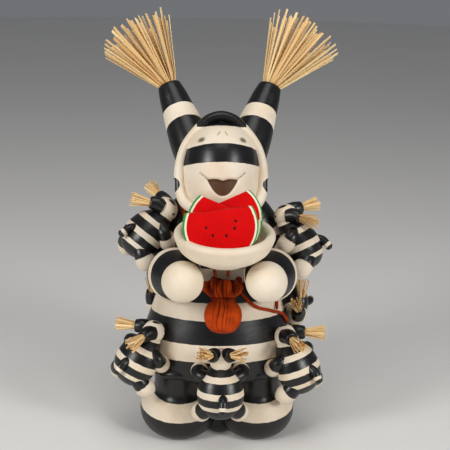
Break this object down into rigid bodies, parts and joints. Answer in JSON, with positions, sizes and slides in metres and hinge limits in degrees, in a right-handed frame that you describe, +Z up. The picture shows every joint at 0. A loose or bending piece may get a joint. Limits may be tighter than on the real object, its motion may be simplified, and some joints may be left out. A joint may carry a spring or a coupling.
{
  "type": "pueblo clown storyteller figurine",
  "caption": "Standing striped clay clown with straw-tipped horns that holds a bowl of melon slices while small clowns climb on it.",
  "frame": {"origin": "on the surface it stands on, below the middle of the whole figure's box", "axes": "+Z up, the figure faces -Y, its right hand is on the -X side"},
  "size_m": [0.2392, 0.2534, 0.4149],
  "materials": {
    "clay": "fired clay with cream slip and burnished black stripes",
    "straw": "dry cut straw",
    "melon": "painted clay, red flesh with white and green rind",
    "suede": "rust brown suede"
  },
  "bodies": {
    "root": {"storyteller": "clay", "child_upper_right_arm": "clay", "child_upper_right_arm_tassel_a": "straw", "child_upper_right_arm_tassel_b": "straw", "child_upper_left_arm": "clay", "child_upper_left_arm_tassel_a": "straw", "child_upper_left_arm_tassel_b": "straw", "child_lower_right_leg": "clay", "child_lower_right_leg_tassel_a": "straw", "child_lower_right_leg_tassel_b": "straw", "child_lower_middle": "clay", "child_lower_middle_tassel_a": "straw", "child_lower_middle_tassel_b": "straw", "child_lower_left_leg": "clay", "child_lower_left_leg_tassel_a": "straw", "child_lower_left_leg_tassel_b": "straw", "child_rear_left_hip": "clay", "child_rear_left_hip_tassel_a": "straw", "child_rear_left_hip_tassel_b": "straw", "child_rear_right_hip": "clay", "child_rear_right_hip_tassel_a": "straw", "child_rear_right_hip_tassel_b": "straw", "horn_tassel_right": "straw", "horn_tassel_left": "straw", "bowl": "clay", "melon_slice_front": "melon", "melon_slice_left": "melon", "melon_slice_right": "melon", "pouch": "suede", "neck_lace": "suede", "lace_tail": "suede", "lace_end": "suede"}
  },
  "joints": []
}
